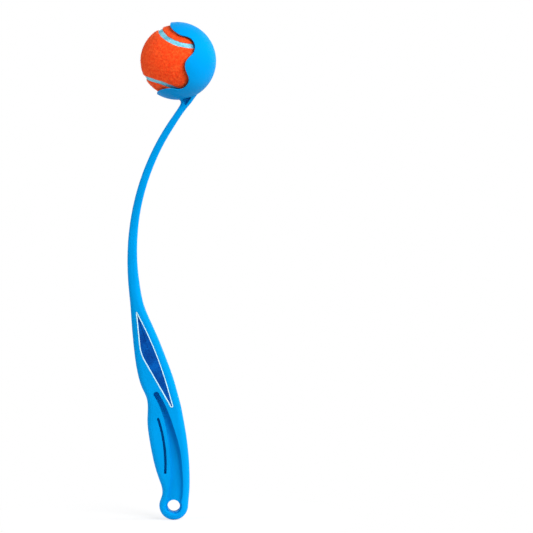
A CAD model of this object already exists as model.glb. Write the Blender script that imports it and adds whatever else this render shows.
import math

import bpy
import numpy as np
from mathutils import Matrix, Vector


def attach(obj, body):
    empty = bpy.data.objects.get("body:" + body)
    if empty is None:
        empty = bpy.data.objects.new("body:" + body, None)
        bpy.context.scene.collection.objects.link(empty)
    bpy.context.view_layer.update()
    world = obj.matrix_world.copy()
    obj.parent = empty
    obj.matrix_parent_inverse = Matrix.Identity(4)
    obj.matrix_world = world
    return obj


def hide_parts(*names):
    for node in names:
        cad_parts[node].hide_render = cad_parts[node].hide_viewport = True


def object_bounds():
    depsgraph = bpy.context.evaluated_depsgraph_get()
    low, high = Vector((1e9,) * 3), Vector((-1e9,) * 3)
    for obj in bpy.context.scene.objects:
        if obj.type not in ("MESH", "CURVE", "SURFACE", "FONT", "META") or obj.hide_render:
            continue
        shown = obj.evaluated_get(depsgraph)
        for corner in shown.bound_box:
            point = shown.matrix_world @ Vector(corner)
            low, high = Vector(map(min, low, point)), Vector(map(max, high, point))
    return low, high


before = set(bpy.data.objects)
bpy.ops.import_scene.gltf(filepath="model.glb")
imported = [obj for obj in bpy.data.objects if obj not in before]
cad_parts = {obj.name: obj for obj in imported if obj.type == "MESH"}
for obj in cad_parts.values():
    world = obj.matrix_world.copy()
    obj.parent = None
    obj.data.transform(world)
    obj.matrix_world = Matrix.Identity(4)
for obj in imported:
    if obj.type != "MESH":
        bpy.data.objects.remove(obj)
cadLow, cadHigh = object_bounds()
scene = bpy.context.scene
mm = 0.001  # piece dictionaries are in millimetres, meshes in metres
print("frame loaded", [round(v, 4) for v in cadLow], [round(v, 4) for v in cadHigh])


# mesh object from points in millimetres and one or more arrays of faces, all shaded smooth
def meshPiece(name, points, *faceArrays):
    mesh = bpy.data.meshes.new(name)
    mesh.from_pydata((points * mm).tolist(), [], [face for faces in faceArrays for face in faces.tolist()])
    mesh.polygons.foreach_set("use_smooth", np.ones(len(mesh.polygons), bool))
    mesh.update()
    piece = bpy.data.objects.new(name, mesh)
    scene.collection.objects.link(piece)
    return piece


# quads between neighbouring rows of an index grid; each row's last column joins its first
def ringQuads(index):
    nextColumn = np.roll(index, -1, axis=1)
    return np.stack([index[:-1], nextColumn[:-1], nextColumn[1:], index[1:]], axis=-1).reshape(-1, 4)


# triangles from each pair of neighbours in a closed ring to one point
def fanTriangles(ring, point):
    return np.stack([ring, np.roll(ring, -1), np.full(len(ring), point)], axis=-1)


# one float for each point, kept on the mesh for its material
def pointValue(piece, name, values):
    attribute = piece.data.attributes.new(name, "FLOAT", "POINT")
    attribute.data.foreach_set("value", np.asarray(values, np.float32).ravel())


noise = {"values": 8192, "mix": (73856093, 19349663, 83492791)}  # size of the value table, and its hash


# lattice noise from 0 to 1: random values on a cubic lattice, blended by a smoothstep along each axis
def latticeNoise(points, cell, seed):
    values = np.random.default_rng(seed).random(noise["values"])
    place = points / cell
    corner = np.floor(place).astype(np.int64)
    part = place - corner
    part = part * part * (3 - 2 * part)
    total = np.zeros(points.shape[:-1])
    for step in np.ndindex(2, 2, 2):
        at = corner + np.array(step)
        key = np.bitwise_xor.reduce(at * np.array(noise["mix"]), axis=-1)
        share = np.where(np.array(step) == 1, part, 1 - part).prod(axis=-1)
        total += values[key % noise["values"]] * share
    return total


# vectors divided by their own lengths
def normalised(vectors):
    return vectors / np.linalg.norm(vectors, axis=-1, keepdims=True)


# fresh material with its Principled shader; constants go straight onto the shader's sockets
def newMaterial(name, **constants):
    material = bpy.data.materials.new(name)
    material.use_nodes = True
    shader = material.node_tree.nodes["Principled BSDF"]
    for socket, value in constants.items():
        shader.inputs[socket.replace("_", " ")].default_value = value
    return material, material.node_tree, shader


# shader node with values on its sockets, or on its own settings where no socket has that name
def addNode(tree, kind, **settings):
    node = tree.nodes.new(kind)
    for key, value in settings.items():
        if key in node.inputs:
            node.inputs[key].default_value = value
        else:
            setattr(node, key, value)
    return node


# colour ramp along a source value, with stops given as (place, colour)
def addRamp(tree, source, stops):
    ramp = addNode(tree, "ShaderNodeValToRGB")
    while len(ramp.color_ramp.elements) < len(stops):
        ramp.color_ramp.elements.new(0.5)
    for element, (place, colour) in zip(ramp.color_ramp.elements, stops):
        element.position = place
        element.color = (*colour, 1)
    tree.links.new(source, ramp.inputs["Fac"])
    return ramp.outputs["Color"]


# source value carried in a straight line from one range onto another, held at both ends
def addRange(tree, source, low, high, toLow, toHigh):
    node = addNode(tree, "ShaderNodeMapRange")
    for socket, value in (("From Min", low), ("From Max", high), ("To Min", toLow), ("To Max", toHigh)):
        node.inputs[socket].default_value = value
    tree.links.new(source, node.inputs["Value"])
    return node.outputs["Result"]


# average of two values
def addAverage(tree, first, second):
    blend = addNode(tree, "ShaderNodeMix", data_type="FLOAT")
    blend.inputs["Factor"].default_value = 0.5
    tree.links.new(first, blend.inputs["A"])
    tree.links.new(second, blend.inputs["B"])
    return blend.outputs["Result"]


# colour that goes over to a fixed second colour as a share goes from 0 to 1
def addTint(tree, share, colour, tint):
    blend = addNode(tree, "ShaderNodeMix", data_type="RGBA")
    tree.links.new(share, blend.inputs["Factor"])
    tree.links.new(colour, blend.inputs["A"])
    blend.inputs["B"].default_value = (*tint, 1)
    return blend.outputs["Result"]


# grain group: a fine and a broad noise of Object coordinates, and a bump from the fine one
def makeGrainGroup():
    group = bpy.data.node_groups.new("mouldGrain", "ShaderNodeTree")
    for label, default in (("Fine Scale", 900.0), ("Broad Scale", 40.0), ("Bump Distance", 0.00004)):
        socket = group.interface.new_socket(label, in_out="INPUT", socket_type="NodeSocketFloat")
        socket.default_value = default
    for label, kind in (("Fine", "Float"), ("Broad", "Float"), ("Normal", "Vector")):
        group.interface.new_socket(label, in_out="OUTPUT", socket_type="NodeSocket" + kind)
    inside = addNode(group, "NodeGroupInput")
    outside = addNode(group, "NodeGroupOutput")
    coords = addNode(group, "ShaderNodeTexCoord")
    fine = addNode(group, "ShaderNodeTexNoise", Detail=3.0, Roughness=0.6)
    broad = addNode(group, "ShaderNodeTexNoise", Detail=2.0, Roughness=0.5)
    bump = addNode(group, "ShaderNodeBump", Strength=1.0)
    link = group.links.new
    link(coords.outputs["Object"], fine.inputs["Vector"])
    link(coords.outputs["Object"], broad.inputs["Vector"])
    link(inside.outputs["Fine Scale"], fine.inputs["Scale"])
    link(inside.outputs["Broad Scale"], broad.inputs["Scale"])
    link(inside.outputs["Bump Distance"], bump.inputs["Distance"])
    link(fine.outputs["Fac"], bump.inputs["Height"])
    link(fine.outputs["Fac"], outside.inputs["Fine"])
    link(broad.outputs["Fac"], outside.inputs["Broad"])
    link(bump.outputs["Normal"], outside.inputs["Normal"])
    return group


mouldGrain = makeGrainGroup()
grainSpread = (0.3, 0.7)  # most values of a noise lie between these


# grain group placed in a material with that material's own scales, its bump on the shader
def placeGrain(tree, shader, spec):
    grain = addNode(tree, "ShaderNodeGroup", node_tree=mouldGrain)
    grain.inputs["Fine Scale"].default_value = spec["fineScale"]
    grain.inputs["Broad Scale"].default_value = spec["broadScale"]
    grain.inputs["Bump Distance"].default_value = spec["bump"]
    tree.links.new(grain.outputs["Normal"], shader.inputs["Normal"])
    return grain.outputs["Fine"], grain.outputs["Broad"]


# one material for the whole piece
def dress(piece, material):
    piece.data.materials.clear()
    piece.data.materials.append(material)


bluePlastic = {
    "deep": (0.0, 0.25, 0.61),
    "clear": (0.0, 0.28, 0.68),
    "fineScale": 1400.0,
    "broadScale": 30.0,
    "bump": 0.00002,
    "roughness": (0.44, 0.52),
}


# satin blue plastic: broad noise between two blues, fine noise in the roughness and the bump
def makeBluePlastic(spec):
    material, tree, shader = newMaterial(
        "bluePlastic", IOR=1.49, Specular_IOR_Level=0.05, Specular_Tint=(0.2, 0.7, 1.0, 1)
    )
    fine, broad = placeGrain(tree, shader, spec)
    colour = addRamp(tree, broad, list(zip(grainSpread, (spec["deep"], spec["clear"]))))
    tree.links.new(colour, shader.inputs["Base Color"])
    tree.links.new(addRange(tree, fine, *grainSpread, *spec["roughness"]), shader.inputs["Roughness"])
    return material


dress(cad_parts["launcher_moulding"], makeBluePlastic(bluePlastic))
print("moulding dressed")

ball = {
    "centre": (2.96, 0.0, 410.83),
    "turn": (94, -26, -14),  # degrees about X, then Y, then Z
    "swing": 0.19,  # how far the seam swings from side to side
    "seamWidth": 4.6,
    "coreRadius": 29.25,
    "seamRadius": 31.55,
    "feltRadius": 32.5,
    "around": 480,  # steps along the seam
}


# rotation matrix about X, then Y, then Z
def turnMatrix(degreesXyz):
    cx, cy, cz = np.cos(np.radians(degreesXyz))
    sx, sy, sz = np.sin(np.radians(degreesXyz))
    turnX = np.array([[1, 0, 0], [0, cx, -sx], [0, sx, cx]])
    turnY = np.array([[cy, 0, sy], [0, 1, 0], [-sy, 0, cy]])
    turnZ = np.array([[cz, -sz, 0], [sz, cz, 0], [0, 0, 1]])
    return turnZ @ turnY @ turnX


ballTurn = turnMatrix(ball["turn"])
ballCentre = np.array(ball["centre"])


# seam line on the unit sphere: a circle with a third-harmonic swing and a double-turn rise;
# gives its points and the direction across it
def seamLine(turn):
    swing = ball["swing"]
    base = 1 - swing
    rise = 2 * math.sqrt(base * swing)
    on = np.stack(
        [
            base * np.cos(turn) + swing * np.cos(3 * turn),
            base * np.sin(turn) - swing * np.sin(3 * turn),
            rise * np.sin(2 * turn),
        ],
        axis=-1,
    )
    along = np.stack(
        [
            -base * np.sin(turn) - 3 * swing * np.sin(3 * turn),
            base * np.cos(turn) - 3 * swing * np.cos(3 * turn),
            2 * rise * np.cos(2 * turn),
        ],
        axis=-1,
    )
    return on, normalised(np.cross(on, along))


# places in the frame: directions turned with the ball, times their radii, from the ball's centre
def onBall(directions, radii):
    return directions @ ballTurn.T * np.asarray(radii)[..., None] + ballCentre


felt = {
    "edgeWander": 0.32,  # ragged edge, each way
    "wanderCells": (2.2, 0.9),
    "wanderRadius": 30,  # of the sphere on which the edge's noise is read
    "edgeRound": 1.5,  # width of the rolled edge
    "edgeDrop": 1.15,  # how far the roll goes down
    "edgeCalm": 0.6,  # share of the nap and lumps that is gone at the edge
    "napHeight": 0.42,
    "napCell": 1.15,
    "lumpHeight": 0.22,
    "lumpCell": 3.6,
    "edgeRows": [0, 0.004, 0.012, 0.024, 0.04, 0.06, 0.085],  # shares of the way in to the middle line
    "firstTopRow": 0.11,
    "topRows": 56,
    "wallFoot": 1.0,  # the wall's foot stands this far off the core
    "underRows": 7,
    "lobeTips": {1: 135, -1: 225},  # degrees along the seam at one lobe's tip, for each side
    "spineReach": 97,  # degrees from the panel's middle to the ends of its middle line
    "flat": (0.075, 0.15),  # metres, the strip that one panel is cut from
    "area": 0.0059,  # square metres of one dumbbell-shaped cut: half of a 65 mm ball less half of the seam
}


# directions on the great circle from start to end, share by share, and the angle between the two
def greatArc(start, end, share):
    angle = np.arccos(np.clip((start * end).sum(-1, keepdims=True), -1, 1))
    return (np.sin((1 - share) * angle) * start + np.sin(share * angle) * end) / np.sin(angle), angle


# felt skin of one panel: columns go round the seam, rows go from its ragged edge in to the panel's middle
# line; the radius is the felt's, less an elliptic roll at the edge, plus nap and lump noise; then come the
# wall and the underside
def feltSkin(side, seed):
    count = ball["around"]
    sweep = np.radians(360 * np.arange(count) / count)
    on, across = seamLine(sweep + math.radians(felt["lobeTips"][side]))
    coarse, ragged = (
        latticeNoise(on * felt["wanderRadius"], cell, seed + k) for k, cell in enumerate(felt["wanderCells"])
    )
    wander = (coarse + ragged - 1) * felt["edgeWander"]
    reach = (ball["seamWidth"] / 2 + wander)[:, None] / ball["feltRadius"]
    edge = on * np.cos(reach) + across * side * np.sin(reach)
    lean = np.radians(-felt["spineReach"]) * np.cos(sweep)[:, None]
    middleWay = np.array([1, -side, 0]) / math.sqrt(2)
    spine = np.array([0, 0, side]) * np.cos(lean) + middleWay * np.sin(lean)
    topRows = np.linspace(felt["firstTopRow"], 1, felt["topRows"])
    rows = np.concatenate([felt["edgeRows"], topRows])[:, None, None]
    top, angle = greatArc(edge[None], spine[None], rows)
    inward = (rows * angle)[..., 0] * ball["feltRadius"]
    roll = 1 - np.clip(inward / felt["edgeRound"], 0, 1)
    nap = latticeNoise(top * ball["feltRadius"], felt["napCell"], seed + 2) - 0.5
    lump = latticeNoise(top * ball["feltRadius"], felt["lumpCell"], seed + 3) - 0.5
    height = (nap * felt["napHeight"] + lump * felt["lumpHeight"]) * (1 - felt["edgeCalm"] * roll)
    skin = onBall(top, ball["feltRadius"] - felt["edgeDrop"] * (1 - np.sqrt(1 - roll**2)) + height)
    wall = onBall(edge, np.full(count, ball["coreRadius"] + felt["wallFoot"]))[None]
    under, _ = greatArc(edge[None], spine[None], np.linspace(0, 1, felt["underRows"])[:, None, None])
    beneath = onBall(under, np.full(under.shape[:2], ball["coreRadius"]))
    return skin, wall, beneath


# closed felt piece: rings of skin, wall and underside in turn; on the middle line the two halves of a ring
# meet, so column k there is the same point as column -k
def feltPanel(name, side, seed):
    skin, wall, beneath = feltSkin(side, seed)
    points = np.concatenate([skin[::-1], wall, beneath]).reshape(-1, 3)
    count = ball["around"]
    index = np.arange(len(points)).reshape(-1, count)
    columns = np.arange(count)
    mirrored = np.minimum(columns, count - columns)
    index[0] = index[0][mirrored]
    index[-1] = index[-1][mirrored]
    quads = ringQuads(index)
    if side > 0:
        quads = quads[:, ::-1]
    used, packed = np.unique(quads, return_inverse=True)
    return meshPiece(name, points[used], packed.reshape(quads.shape)), skin


napFibres = {
    "count": 7000,
    "length": (0.7, 1.5),
    "lift": (0.15, 0.55),
    "radius": 0.045,
    "rootDepth": 0.15,
    "bendAt": 0.45,  # share of the length at which a fibre bends
    "bendWidth": 0.8,  # share of the root's width that is left there
    "tipLift": 0.8,  # share of the lift that the tip keeps
}


# nap fibres: bent three-sided spikes, rooted evenly over the skin's area, leaning along it in any direction
# and thinning to a point
def feltFibres(name, skin, seed):
    rng = np.random.default_rng(seed)
    count = napFibres["count"]
    beside = np.roll(skin, -1, axis=1)
    corners = [grid.reshape(-1, 3) for grid in (skin[:-1], beside[:-1], skin[1:], beside[1:])]
    area = np.linalg.norm(np.cross(corners[1] - corners[0], corners[2] - corners[0]), axis=-1)
    cell = rng.choice(area.size, count, p=area / area.sum())
    across, inward = rng.random((2, count, 1))
    low = corners[0][cell] * (1 - across) + corners[1][cell] * across
    high = corners[2][cell] * (1 - across) + corners[3][cell] * across
    root = low * (1 - inward) + high * inward
    out = normalised(root - ballCentre)
    lean = normalised(np.cross(out, rng.normal(size=root.shape)))
    aside = np.cross(out, lean)
    length = rng.uniform(*napFibres["length"], (count, 1))
    lift = rng.uniform(*napFibres["lift"], (count, 1))
    turn = np.radians([0, 120, 240])[None, :, None]
    ring = napFibres["radius"] * (np.cos(turn) * out[:, None] + np.sin(turn) * aside[:, None])
    foot = (root - out * napFibres["rootDepth"])[:, None] + ring
    bend = (root + lean * length * napFibres["bendAt"] + out * lift)[:, None] + ring * napFibres["bendWidth"]
    tip = (root + lean * length + out * lift * napFibres["tipLift"])[:, None]
    points = np.concatenate([foot, bend, tip], axis=1)
    sides = [[0, 4, 1], [0, 3, 4], [1, 5, 2], [1, 4, 5], [2, 3, 0], [2, 5, 3]]
    ends = [[0, 1, 2], [3, 6, 4], [4, 6, 5], [5, 6, 3]]
    faces = np.arange(count)[:, None, None] * 7 + np.array(sides + ends)[None]
    return meshPiece(name, points.reshape(-1, 3), faces.reshape(-1, 3))


orangeFelt = {
    "deep": (0.82, 0.028, 0.002),
    "mid": (0.92, 0.064, 0.007),
    "pale": (0.97, 0.135, 0.024),
    "spread": (0.32, 0.5, 0.68),  # values of the noise at the three colours
    "fineScale": 1700.0,
    "broadScale": 480.0,
    "bump": 0.0004,
}


# orange felt: fine and broad noise together pick from three oranges, with a soft sheen at grazing angles
def makeOrangeFelt(spec):
    material, tree, shader = newMaterial(
        "orangeFelt", Roughness=0.95, Specular_IOR_Level=0.15, Sheen_Weight=0.4, Sheen_Roughness=0.5,
        Sheen_Tint=(1.0, 0.4, 0.15, 1),
    )
    fine, broad = placeGrain(tree, shader, spec)
    stops = list(zip(spec["spread"], (spec["deep"], spec["mid"], spec["pale"])))
    tree.links.new(addRamp(tree, addAverage(tree, fine, broad), stops), shader.inputs["Base Color"])
    return material


orangeFeltMaterial = makeOrangeFelt(orangeFelt)
for letter, side, seed in (("a", 1, 11), ("b", -1, 31)):
    panel, skin = feltPanel("felt_cover_" + letter, side, seed)
    fibres = feltFibres("felt_nap_" + letter, skin, seed + 9)
    for piece in (panel, fibres):
        dress(piece, orangeFeltMaterial)
        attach(piece, "ball")
    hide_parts("felt_panel_" + letter)
print("felt made")

seam = {
    "overlap": 0.9,  # how far the band goes in under the felt on each side
    "crown": 0.12,
    "pitDepth": 0.22,
    "pitShare": 0.70,  # noise above this makes a pit
    "pitCell": 0.75,
    "grainHeight": 0.06,
    "grainCell": 0.5,
    "columns": (19, 5),  # over the top and along the underside
}


# seam band: rows follow the seam line, columns go round its section; the top is a shallow crown, lowered
# where the pit noise passes its share, and the underside lies on the core
def seamBand(name):
    count = ball["around"]
    on, across = seamLine(np.radians(360 * np.arange(count) / count))
    topCount, underCount = seam["columns"]
    places = np.concatenate([np.linspace(-1, 1, topCount), np.linspace(1, -1, underCount)])[None]
    isTop = np.arange(places.size)[None] < topCount
    reach = places[..., None] * (ball["seamWidth"] / 2 + seam["overlap"]) / ball["seamRadius"]
    directions = on[:, None] * np.cos(reach) + across[:, None] * np.sin(reach)
    spots = latticeNoise(directions * ball["seamRadius"], seam["pitCell"], 51)
    pits = np.clip((spots - seam["pitShare"]) / (1 - seam["pitShare"]), 0, 1) * isTop
    grain = latticeNoise(directions * ball["seamRadius"], seam["grainCell"], 52) - 0.5
    top = ball["seamRadius"] + seam["crown"] * (1 - places**2)
    top = top - seam["pitDepth"] * pits + seam["grainHeight"] * grain
    points = onBall(directions, np.where(isTop, top, ball["coreRadius"]))
    index = np.arange(count * places.size).reshape(count, -1)
    quads = ringQuads(np.concatenate([index, index[:1]]))[:, ::-1]
    piece = meshPiece(name, points.reshape(-1, 3), quads)
    pointValue(piece, "pit", pits)
    return piece


seamRubber = {
    "deep": (0.06, 0.35, 0.48),
    "clear": (0.25, 0.64, 0.77),
    "pit": (0.02, 0.10, 0.16),
    "spread": (0.3, 0.65),
    "fineScale": 1800.0,
    "broadScale": 160.0,
    "bump": 0.00006,
}


# pale blue rubber: broad noise between two blues, darker in the pits
def makeSeamRubber(spec):
    material, tree, shader = newMaterial("seamRubber", Roughness=0.62, Specular_IOR_Level=0.4)
    _, broad = placeGrain(tree, shader, spec)
    colour = addRamp(tree, broad, list(zip(spec["spread"], (spec["deep"], spec["clear"]))))
    pit = addNode(tree, "ShaderNodeAttribute", attribute_name="pit")
    tree.links.new(addTint(tree, pit.outputs["Fac"], colour, spec["pit"]), shader.inputs["Base Color"])
    return material


seamPiece = seamBand("seam_band")
dress(seamPiece, makeSeamRubber(seamRubber))
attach(seamPiece, "ball")
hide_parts("seam_strip")
print("seam made")

coreRubber = {
    "deep": (0.035, 0.035, 0.04),
    "clear": (0.07, 0.07, 0.075),
    "fineScale": 700.0,
    "broadScale": 60.0,
    "bump": 0.0001,
}


# dark core rubber: broad noise between two greys
def makeCoreRubber(spec):
    material, tree, shader = newMaterial("coreRubber", Roughness=0.8)
    _, broad = placeGrain(tree, shader, spec)
    colour = addRamp(tree, broad, list(zip(grainSpread, (spec["deep"], spec["clear"]))))
    tree.links.new(colour, shader.inputs["Base Color"])
    return material


coreRubberMaterial = makeCoreRubber(coreRubber)
for letter in "ab":
    dress(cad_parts["core_shell_" + letter], coreRubberMaterial)
print("core dressed")

label = {
    "corners": [(3.59, 81.0), (-30.81, 141.57), (-35.04, 184.33), (-14.0, 143.23)],
    "rounds": [1.6, 36.0, 0.93, 340.0],
    "inset": 0.15,
    "middle": (-21.24, 140.1),
    "back": 8.55,  # from the middle of the grip to the sticker's back
    "thickness": 0.27,
    "softEdge": 0.12,
    "line": 0.9,  # width of the pale edge line
    "lineLean": 0.14,  # the line is this much wider on the finger side, and narrower on the spine side
    "lineBlur": 0.15,
    "cornerSteps": 24,
    "outlineSteps": 420,
    "fillRings": 14,
}


# rounded outline: at each corner an arc tangent to both sides, its middle on the corner's bisector
def roundedOutline(corners, rounds, perCorner):
    points = []
    share = np.linspace(0, 1, perCorner)[:, None]
    before, after = np.roll(corners, 1, axis=0), np.roll(corners, -1, axis=0)
    for last, here, ahead, size in zip(before, corners, after, rounds):
        toLast, toNext = normalised(last - here), normalised(ahead - here)
        half = math.acos(np.clip(toLast @ toNext, -1, 1)) / 2
        centre = here + normalised(toLast + toNext) * size / math.sin(half)
        first = here + toLast * size / math.tan(half) - centre
        final = here + toNext * size / math.tan(half) - centre
        points.append(centre + normalised(first * (1 - share) + final * share) * size)
    return np.concatenate(points)


# points at even steps of length round a closed outline
def evenly(outline, count):
    closed = np.concatenate([outline, outline[:1]])
    far = np.concatenate([[0], np.cumsum(np.linalg.norm(np.diff(closed, axis=0), axis=1))])
    at = np.linspace(0, far[-1], count, endpoint=False)
    return np.stack([np.interp(at, far, closed[:, k]) for k in (0, 1)], axis=-1)


# sticker: the outline drawn in ring by ring, over a soft edge, across the pale line and on to its middle,
# where triangles close it; the back is the rim's ring closed the same way; "pale" is 1 on the line and 0
# inside it
def stickerPiece(name, face):
    middle = np.array(label["middle"])
    outline = roundedOutline(np.array(label["corners"]), label["rounds"], label["cornerSteps"])
    outline = evenly(outline, label["outlineSteps"])
    count = len(outline)
    outward = np.roll(outline, -1, axis=0) - np.roll(outline, 1, axis=0)
    outward = normalised(np.stack([outward[:, 1], -outward[:, 0]], axis=-1))
    outward *= np.sign((outward * (outline - middle)).sum(-1, keepdims=True))
    rim = outline - outward * label["inset"]
    width = label["line"] - label["lineLean"] * outward[:, :1]
    onLine = [rim, rim, rim - outward * label["softEdge"], rim - outward * width]
    drawn = onLine + [rim - outward * (width + label["lineBlur"])]
    shares = np.linspace(0, 1, label["fillRings"] + 1, endpoint=False)[1:, None, None]
    flat = np.concatenate([drawn, drawn[-1] * (1 - shares) + middle * shares])
    depth = np.full(flat.shape[:2], label["back"] + label["thickness"])
    depth[0] = label["back"]
    depth[1] -= label["softEdge"]
    rings = np.stack([flat[..., 0], face * depth, flat[..., 1]], axis=-1)
    ends = np.array([[middle[0], face * level, middle[1]] for level in (depth[0, 0], depth[-1, 0])])
    points = np.concatenate([rings.reshape(-1, 3), ends])
    index = np.arange(rings.shape[0] * count).reshape(-1, count)
    backMiddle, frontMiddle = index.size, index.size + 1
    faces = [ringQuads(index), fanTriangles(index[-1], frontMiddle)]
    faces.append(fanTriangles(index[0][::-1], backMiddle))
    if face < 0:
        faces = [part[:, ::-1] for part in faces]
    piece = meshPiece(name, points, *faces)
    pale = np.repeat(np.arange(len(rings)) < len(onLine), count)
    pointValue(piece, "pale", np.concatenate([pale, [1, 0]]))
    return piece


labelFilm = {
    "deep": (0.0, 0.03, 0.20),
    "clear": (0.0, 0.095, 0.41),
    "line": (0.55, 0.85, 0.95),
    "spread": (0.35, 0.65),
    "fineScale": 700.0,
    "broadScale": 90.0,
    "bump": 0.00004,
    "roughness": (0.28, 0.42),
}


# printed film: fine and broad noise together mottle a dark blue, and the pale line runs along the edge
def makeLabelFilm(spec):
    material, tree, shader = newMaterial("labelFilm", Specular_IOR_Level=0.06)
    fine, broad = placeGrain(tree, shader, spec)
    stops = list(zip(spec["spread"], (spec["deep"], spec["clear"])))
    colour = addRamp(tree, addAverage(tree, fine, broad), stops)
    pale = addNode(tree, "ShaderNodeAttribute", attribute_name="pale")
    tree.links.new(addTint(tree, pale.outputs["Fac"], colour, spec["line"]), shader.inputs["Base Color"])
    tree.links.new(addRange(tree, fine, *grainSpread, *spec["roughness"]), shader.inputs["Roughness"])
    return material


labelFilmMaterial = makeLabelFilm(labelFilm)
for name, face in (("front", -1), ("back", 1)):
    sticker = stickerPiece("label_sticker_" + name, face)
    dress(sticker, labelFilmMaterial)
    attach(sticker, "launcher")
    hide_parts("label_" + name)
print("labels made")

floor = {
    "side": 60.0,
    "takesShadow": 0.26,  # share of the floor's colour that takes the shadow, close to the object
    "shadowReach": (0.03, 0.17),  # metres from the object over which it goes over to plain white
    "paleness": (0.84, 0.3),  # light that the floor throws back, close to the object and far from it
    "paleReach": (0.2, 0.7),
}


# 1 for rays that see the background, straight or in a gloss or a glass, 0 for rays that carry light
def seenRays(tree):
    path = addNode(tree, "ShaderNodeLightPath")
    total = path.outputs["Is Camera Ray"]
    for kind in ("Is Glossy Ray", "Is Transmission Ray"):
        add = addNode(tree, "ShaderNodeMath", operation="ADD", use_clamp=True)
        tree.links.new(total, add.inputs[0])
        tree.links.new(path.outputs[kind], add.inputs[1])
        total = add.outputs["Value"]
    return total


# white floor: a matt sheet under the object, seen as plain white but for the share that takes the shadow
def makeFloor(spec):
    half, low = spec["side"] / 2 / mm, cadLow.z / mm
    corners = np.array([[-half, -half, low], [half, -half, low], [half, half, low], [-half, half, low]])
    sheet = meshPiece("floor", corners, np.array([[0, 1, 2, 3]]))
    material = bpy.data.materials.new("paleFloor")
    material.use_nodes = True
    tree = material.node_tree
    tree.nodes.clear()
    output = addNode(tree, "ShaderNodeOutputMaterial")
    coords = addNode(tree, "ShaderNodeTexCoord")
    away = addNode(tree, "ShaderNodeVectorMath", operation="LENGTH")
    tree.links.new(coords.outputs["Object"], away.inputs[0])
    matt = addNode(tree, "ShaderNodeBsdfDiffuse")
    pale = addRange(tree, away.outputs["Value"], *spec["paleReach"], *spec["paleness"])
    tree.links.new(pale, matt.inputs["Color"])
    white = addNode(tree, "ShaderNodeEmission", Strength=1.0)
    plain = addRange(tree, away.outputs["Value"], *spec["shadowReach"], 1 - spec["takesShadow"], 1.0)
    share = addNode(tree, "ShaderNodeMath", operation="MULTIPLY")
    tree.links.new(seenRays(tree), share.inputs[0])
    tree.links.new(plain, share.inputs[1])
    blend = addNode(tree, "ShaderNodeMixShader")
    tree.links.new(share.outputs["Value"], blend.inputs["Fac"])
    tree.links.new(matt.outputs["BSDF"], blend.inputs[1])
    tree.links.new(white.outputs["Emission"], blend.inputs[2])
    tree.links.new(blend.outputs["Shader"], output.inputs["Surface"])
    dress(sheet, material)


studio = {"light": 0.12, "tint": (0.92, 0.96, 1.0)}


# world: white where it is seen, a dim bluish light where it lights
def makeWorld(spec):
    world = bpy.data.worlds.new("studio")
    scene.world = world
    world.use_nodes = True
    tree = world.node_tree
    tree.nodes.clear()
    output = addNode(tree, "ShaderNodeOutputWorld")
    seen = addNode(tree, "ShaderNodeBackground", Strength=1.0, Color=(1, 1, 1, 1))
    lit = addNode(tree, "ShaderNodeBackground", Strength=spec["light"], Color=(*spec["tint"], 1))
    blend = addNode(tree, "ShaderNodeMixShader")
    tree.links.new(seenRays(tree), blend.inputs["Fac"])
    tree.links.new(lit.outputs["Background"], blend.inputs[1])
    tree.links.new(seen.outputs["Background"], blend.inputs[2])
    tree.links.new(blend.outputs["Shader"], output.inputs["Surface"])


# soft square lamps: place, target and side in metres, power in watts; those with no gloss only lift the tone
lamps = {
    "key": {"at": (1.55, -1.8, 1.8), "to": (0.0, 0.0, 0.25), "side": 1.8, "power": 92, "gloss": True},
    "fill": {"at": (-1.8, -0.7, 1.2), "to": (0.0, 0.0, 0.25), "side": 1.2, "power": 27, "gloss": True},
    "edge": {"at": (1.45, 0.0, 1.2), "to": (0.0, 0.0, 0.2), "side": 0.8, "power": 20, "gloss": False},
    "back": {"at": (0.3, 2.5, 0.5), "to": (0.0, 0.0, 0.25), "side": 1.0, "power": 40, "gloss": False},
}


# square lamp turned so that its -Z looks from its place to its target
def makeLamp(name, spec):
    lamp = bpy.data.lights.new(name, "AREA")
    lamp.size = spec["side"]
    lamp.energy = spec["power"]
    holder = bpy.data.objects.new(name, lamp)
    holder.location = spec["at"]
    way = Vector(spec["to"]) - Vector(spec["at"])
    holder.rotation_euler = way.to_track_quat("-Z", "Y").to_euler()
    holder.visible_camera = False
    holder.visible_glossy = spec["gloss"]
    scene.collection.objects.link(holder)


makeFloor(floor)
makeWorld(studio)
for name, spec in lamps.items():
    makeLamp(name, spec)

# long lens, a little above the object; the picture is 533 by 533 and as wide as span at the aim
viewpoint = {"distance": 4.0, "elevation": 5.1, "aim": (0.08571, 0.0, 0.22154), "span": 0.4903}


# camera at a distance and elevation from its aim, its lens set so that the span fills the picture
def makeCamera(spec):
    camera = bpy.data.cameras.new("camera")
    camera.sensor_width = 36.0
    camera.lens = camera.sensor_width * spec["distance"] / spec["span"]
    camera.clip_end = 200.0
    holder = bpy.data.objects.new("camera", camera)
    tilt = math.radians(spec["elevation"])
    back = np.array([0, -math.cos(tilt), math.sin(tilt)])
    holder.location = np.array(spec["aim"]) + spec["distance"] * back
    holder.rotation_euler = (math.pi / 2 - tilt, 0, 0)
    scene.collection.objects.link(holder)
    scene.camera = holder


makeCamera(viewpoint)
scene.view_settings.view_transform = "Standard"
print("stage set")
